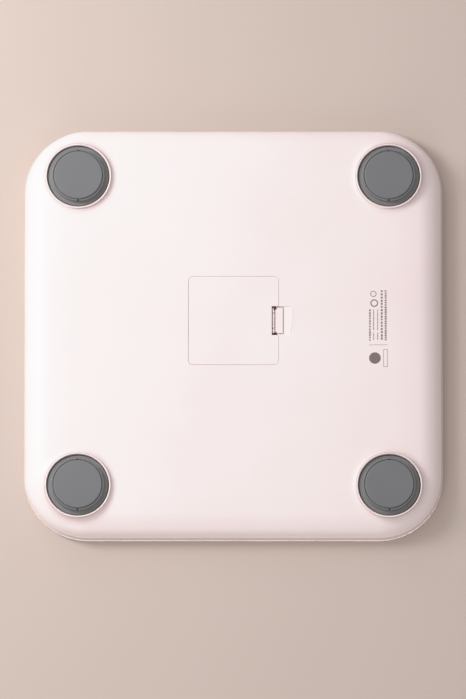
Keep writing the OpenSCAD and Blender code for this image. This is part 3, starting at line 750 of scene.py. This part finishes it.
# ---------------------------------------------------------------- batteries and their springs
# A cell along its axis from the flat end, with a wrap, a coloured band at the button's end, and bare metal ends
CELL = [(0, 0), (4.2, 0), (4.2, 0.2), (4.55, 0.2), (5.0, 0.28), (5.2, 0.55), (5.2, 36.5), (5.2, 43.2), (5.0, 43.5),
        (4.4, 43.6), (4.35, 43.45), (2.2, 43.45), (1.95, 43.6), (1.9, 44.3), (1.7, 44.5), (0, 44.5)]
CELL_PARTS = [1, 1, 1, 0, 0, 0, 2, 2, 2, 1, 1, 1, 1, 1, 1]
SPRING_STEPS, SPRING_TURN = 112, 1260   # points and degrees from end to end
SPRING_R, SPRING_TAPER = 3.1, 1.1
SPRING_FROM, SPRING_REACH = 0.4, 4.85   # along the cell, from its contact plate
PLATE_AWAY = 25.1                       # distance of the contact plates from the door's middle

coils = bpy.data.curves.new("battery_springs", "CURVE")
coils.dimensions = "3D"
coils.bevel_depth = 0.35 * MM
coils.bevel_resolution = 3
coils.use_fill_caps = True
for k in range(1, 5):
    node_name = "battery_%d" % k
    low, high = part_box(node_name)
    at = middle(node_name)
    way = 1 if k % 2 else -1            # the cells lie head to tail
    cell = lathe("aaa_cell_%d" % k, CELL, Matrix.Translation((low.x if way > 0 else high.x, at.y, at.z))
                 @ Matrix.Rotation(way * math.pi / 2, 4, "Y"), 64, parts=CELL_PARTS)
    finish_piece(cell, [by_slot["battery_wrap"], by_slot["nickel_plate"], band_mat],
                 "root", "battery_wrap", node_name)
    spline = coils.splines.new("POLY")
    spline.points.add(SPRING_STEPS)
    for i, point in enumerate(spline.points):
        t = i / SPRING_STEPS
        a, r = math.radians(SPRING_TURN * t), SPRING_R - SPRING_TAPER * t
        along = DOOR_X - way * PLATE_AWAY + way * (SPRING_FROM + SPRING_REACH * t)
        point.co = (along * MM, at.y + way * r * math.cos(a) * MM, at.z + r * math.sin(a) * MM, 1)
finish_piece(place_in_scene("battery_springs", coils), [by_slot["nickel_plate"]],
             "root", "nickel_plate", "contact_springs")


# ---------------------------------------------------------------- foam strip on the door
def foam_strip(low, high):
    """A strip of soft foam: rounded edges, and a face that the batteries have left slightly waved."""
    size = high - low
    longest = 0 if size.x > size.y else 1
    axis = Vector((0, 0, 0))
    axis[longest] = 1
    bm = bmesh.new()
    bmesh.ops.create_cube(bm, size=1.0)
    bmesh.ops.scale(bm, vec=size, verts=bm.verts)
    bmesh.ops.bevel(bm, geom=bm.edges, offset=min(size) * 0.3, segments=4, profile=0.5, affect="EDGES")
    for i in range(1, 48):
        bmesh.ops.bisect_plane(bm, geom=bm.verts[:] + bm.edges[:] + bm.faces[:],
                               plane_co=axis * (size[longest] * (i / 48 - 0.5)), plane_no=axis)
    for v in bm.verts:
        if v.co.z > 0:
            wave = 0.5 + 0.5 * math.cos(2 * math.pi * v.co[longest] / size[longest] * 4)
            v.co.z -= 0.12 * size.z * wave
    bmesh.ops.translate(bm, vec=(low + high) / 2, verts=bm.verts)
    return piece("door_foam_strip", bm, 50)


strip = foam_strip(*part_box("door_foam"))
finish_piece(strip, [by_slot["foam"]], "door", "foam", "door_foam")

# ---------------------------------------------------------------- door and latch edges
for node_name, width in (("battery_door", 0.14), ("door_latch", 0.1)):
    weld = nodes[node_name].modifiers.new("weld", "WELD")
    weld.merge_threshold = 1e-6
    bevel = nodes[node_name].modifiers.new("edges", "BEVEL")
    bevel.width = width * MM
    bevel.segments = 2
    bevel.limit_method = "ANGLE"
    bevel.angle_limit = math.radians(40)

# ---------------------------------------------------------------- plain print on the underside
INK_FACES = (BASE_Z - 0.012, BASE_Z + 0.008)    # it stands just proud of the shell
# Rows of small print as (y, where x starts, height, pitch)
PRINT_ROWS = ((-97.8, -15.6, 1.3, 2.0), (-100.4, -15.6, 0.8, 0.9), (-103.3, -15.6, 0.8, 0.9),
              (-106.3, -29.6, 1.4, 2.3), (-109.1, -29.6, 1.5, 1.7))
BOX_SIDES = ((0, 1, 2, 3), (7, 6, 5, 4), (0, 4, 5, 1), (1, 5, 6, 2), (2, 6, 7, 3), (3, 7, 4, 0))


def underside_print():
    """Rows of small grey blocks, a divider and a plain disc. They stand for small print and say nothing."""
    rng = random.Random(11)
    bm = bmesh.new()

    def block(x0, x1, y0, y1):
        v = [vert for h in INK_FACES for vert in new_verts(bm, ((x0, y0), (x0, y1), (x1, y1), (x1, y0)), h)]
        for q in BOX_SIDES:
            bm.faces.new([v[i] for i in q])

    for y, start, wide, pitch in PRINT_ROWS:
        x = start
        while x < 6.6:
            long = pitch * rng.uniform(0.55, 0.78)
            in_gap = 2.4 < x + long / 2 - start - 13 < 3.6
            if not in_gap or pitch > 1.5:
                block(x, min(x + long, 7.3), y - wide / 2 * rng.uniform(0.75, 1), y + wide / 2)
            x += pitch
    block(10.2, 10.5, -110.4, -97.1)                # the divider
    for x in (13.6, 26.2):                          # an empty frame
        block(x, x + 0.3, -110.2, -107.6)
    for y in (-110.4, -107.7):
        block(13.6, 26.5, y, y + 0.3)

    def ring(cx, cy, outer, hole):
        rims = [new_verts(bm, circle(cx, cy, outer, 48), h) for h in INK_FACES]
        band(bm, *rims)
        if hole == 0:
            bm.faces.new(rims[0][::-1])
            bm.faces.new(rims[1])
            return
        holes = [new_verts(bm, circle(cx, cy, hole, 48), h) for h in INK_FACES]
        band(bm, *holes, flip=True)
        band(bm, rims[0], holes[0], flip=True)
        band(bm, rims[1], holes[1])

    ring(-20.2, -100.9, 2.8, 2.0)
    ring(-27.0, -100.3, 2.2, 1.7)
    ring(20.0, -101.3, 4.2, 0)
    return piece("underside_print", bm)


label = underside_print()
label.data.materials.append(ink_mat)
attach(label, "root")

# ---------------------------------------------------------------- camera
TILT = math.radians(11.8)
DISTANCE = 11.15
AIM = Vector((0.01015, 0.0004, 0.0235))
camera = place_in_scene("camera", bpy.data.cameras.new("camera"))
camera.data.lens = 800.0
camera.data.clip_start = 1.0
camera.data.clip_end = 60.0
sight = Vector((-math.sin(TILT), 0, math.cos(TILT)))
above = Vector((-math.cos(TILT), 0, -math.sin(TILT)))
turn = Matrix((sight.cross(above), above, -sight)).transposed()
camera.matrix_world = Matrix.Translation(AIM - sight * DISTANCE) @ turn.to_4x4()
bpy.context.scene.camera = camera

# ---------------------------------------------------------------- floor and light
FLOOR_HALF = 6000
FLOOR_GAP = 0.00005         # metres between a floor and the object, so that their faces don't coincide


def floor_plane(name, z, facing, colour, opening=0.0):
    """A plain floor seen from one side only, so that the same stage serves a view from below and from above. It may
    have a rounded opening, of half the width given in mm, where the object lies flat against it."""
    bm = bmesh.new()
    outer = new_verts(bm, rounded_loop(FLOOR_HALF, FLOOR_HALF, 1, 16), z / MM)
    if opening:
        inner = new_verts(bm, rounded_loop(opening, opening, CORNER, 16), z / MM)
        band(bm, inner, outer, flip=facing > 0)
    else:
        bm.faces.new(outer if facing > 0 else outer[::-1])
    obj = place_in_scene(name, mesh_from(name, bm))
    m = Mat(name, Base_Color=colour, Roughness=0.8)
    clear = m.node("BsdfTransparent")
    mix = m.node("MixShader")
    side = m.node("NewGeometry")
    m.link(side.outputs["Backfacing"], mix.inputs[0])
    m.link(m.bsdf.outputs[0], mix.inputs[1])
    m.link(clear.outputs[0], mix.inputs[2])
    m.link(mix.outputs[0], m.t.nodes["Material Output"].inputs["Surface"])
    obj.data.materials.append(m.m)
    obj.visible_shadow = obj.visible_glossy = obj.visible_transmission = False
    obj.visible_diffuse = facing < 0
    obj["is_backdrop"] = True


floor_plane("floor_below", cad_low.z - FLOOR_GAP, 1, srgb(206, 197, 190))
floor_plane("floor_behind", cad_high.z + FLOOR_GAP, -1, srgb(204, 188, 179), 149.0)


def area_light(name, place, target, size, power):
    """A square lamp, size metres wide, that faces the target."""
    light = bpy.data.lights.new(name, "AREA")
    light.shape = "SQUARE"
    light.size = size
    light.energy = power
    turned = (Vector(target) - Vector(place)).to_track_quat("-Z", "Y").to_matrix().to_4x4()
    place_in_scene(name, light).matrix_world = Matrix.Translation(place) @ turned


area_light("window_left", (-0.30, 0.78, -0.66), (0, 0, 0.02), 0.4, 7.2)
area_light("window_high", (-0.30, 0.80, -1.50), (0, 0, 0.02), 0.8, 2.15)
area_light("bounce_front", (1.3, 0.35, -0.8), (0, 0, 0.02), 0.7, 3.8)
area_light("bounce_back", (-1.3, 0.5, -0.8), (0, 0, 0.02), 0.7, 3.0)
area_light("softbox_above", (0.2, 0.3, 3.2), (0, 0, 0), 2.6, 59)
world = bpy.data.worlds.new("pale")
world.use_nodes = True
sky = world.node_tree.nodes["Background"]
sky.inputs["Color"].default_value = (1.0, 0.97, 0.95, 1)
sky.inputs["Strength"].default_value = 0.49
bpy.context.scene.world = world

# A camera's soft shoulder: the brightest part of the shell keeps its shading instead of clipping
view = bpy.context.scene.view_settings
view.view_transform = "Standard"
view.use_curve_mapping = True
view.curve_mapping.clip_max_x = 2.0
shoulder = view.curve_mapping.curves[3]
shoulder.points[-1].location = (2.0, 1.0)
for x, y in ((0.85, 0.85), (1.0, 0.93), (1.15, 0.965), (1.5, 0.99)):
    shoulder.points.new(x, y)
for point in shoulder.points:
    point.handle_type = "VECTOR"
view.curve_mapping.update()

low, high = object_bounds()
